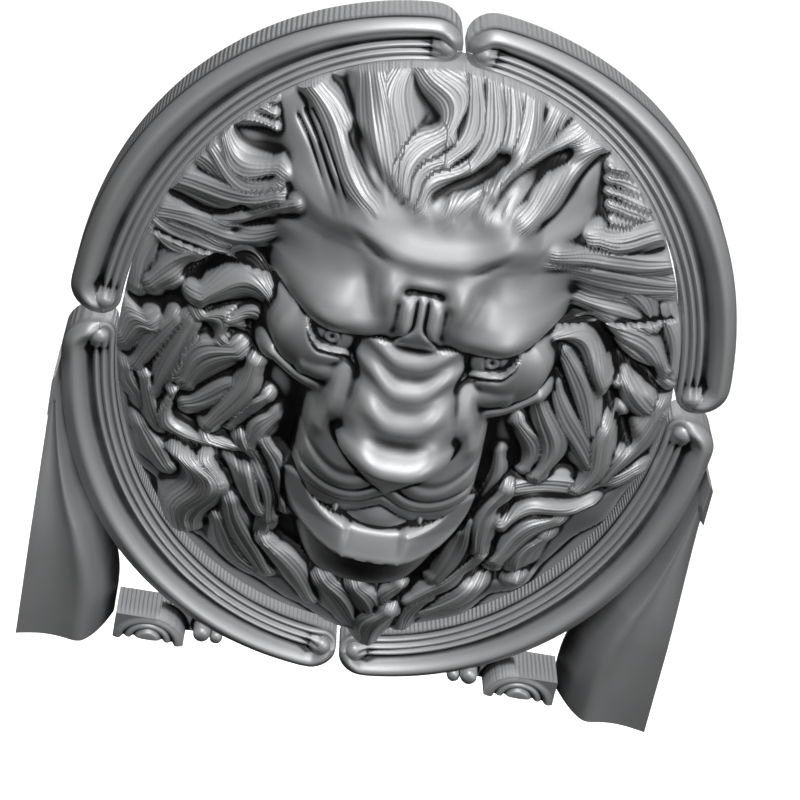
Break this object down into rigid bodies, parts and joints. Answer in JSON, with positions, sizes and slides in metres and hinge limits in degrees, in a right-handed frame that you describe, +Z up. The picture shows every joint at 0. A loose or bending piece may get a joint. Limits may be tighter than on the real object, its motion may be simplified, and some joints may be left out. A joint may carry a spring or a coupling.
{
  "type": "lion head wall mask",
  "caption": "Relief mask of a snarling lion's head with a full mane, set in a ring of scroll-ended mouldings, with flank pieces and small volutes below, flat at the back for a wall.",
  "frame": {"origin": "on the wall plane at the middle of the ring, on the flat back of the lion's head", "axes": "+Z up, +Y into the wall, the face looks along -Y, +X to the viewer's right"},
  "size_m": [0.4, 0.1392, 0.437],
  "materials": {
    "iron_head": "satin wax over a dark patina, rubbed lighter on the high spots",
    "iron_frame": "satin wax over a dark patina",
    "iron_flank": "satin wax over a dark patina"
  },
  "bodies": {
    "root": {"lion_head": "iron_head", "frame_upper_right": "iron_frame", "frame_upper_left": "iron_frame", "frame_lower_left": "iron_frame", "frame_lower_right": "iron_frame", "flank_left": "iron_flank", "flank_right": "iron_flank", "volute_left": "iron_flank", "volute_right": "iron_flank"}
  },
  "joints": []
}
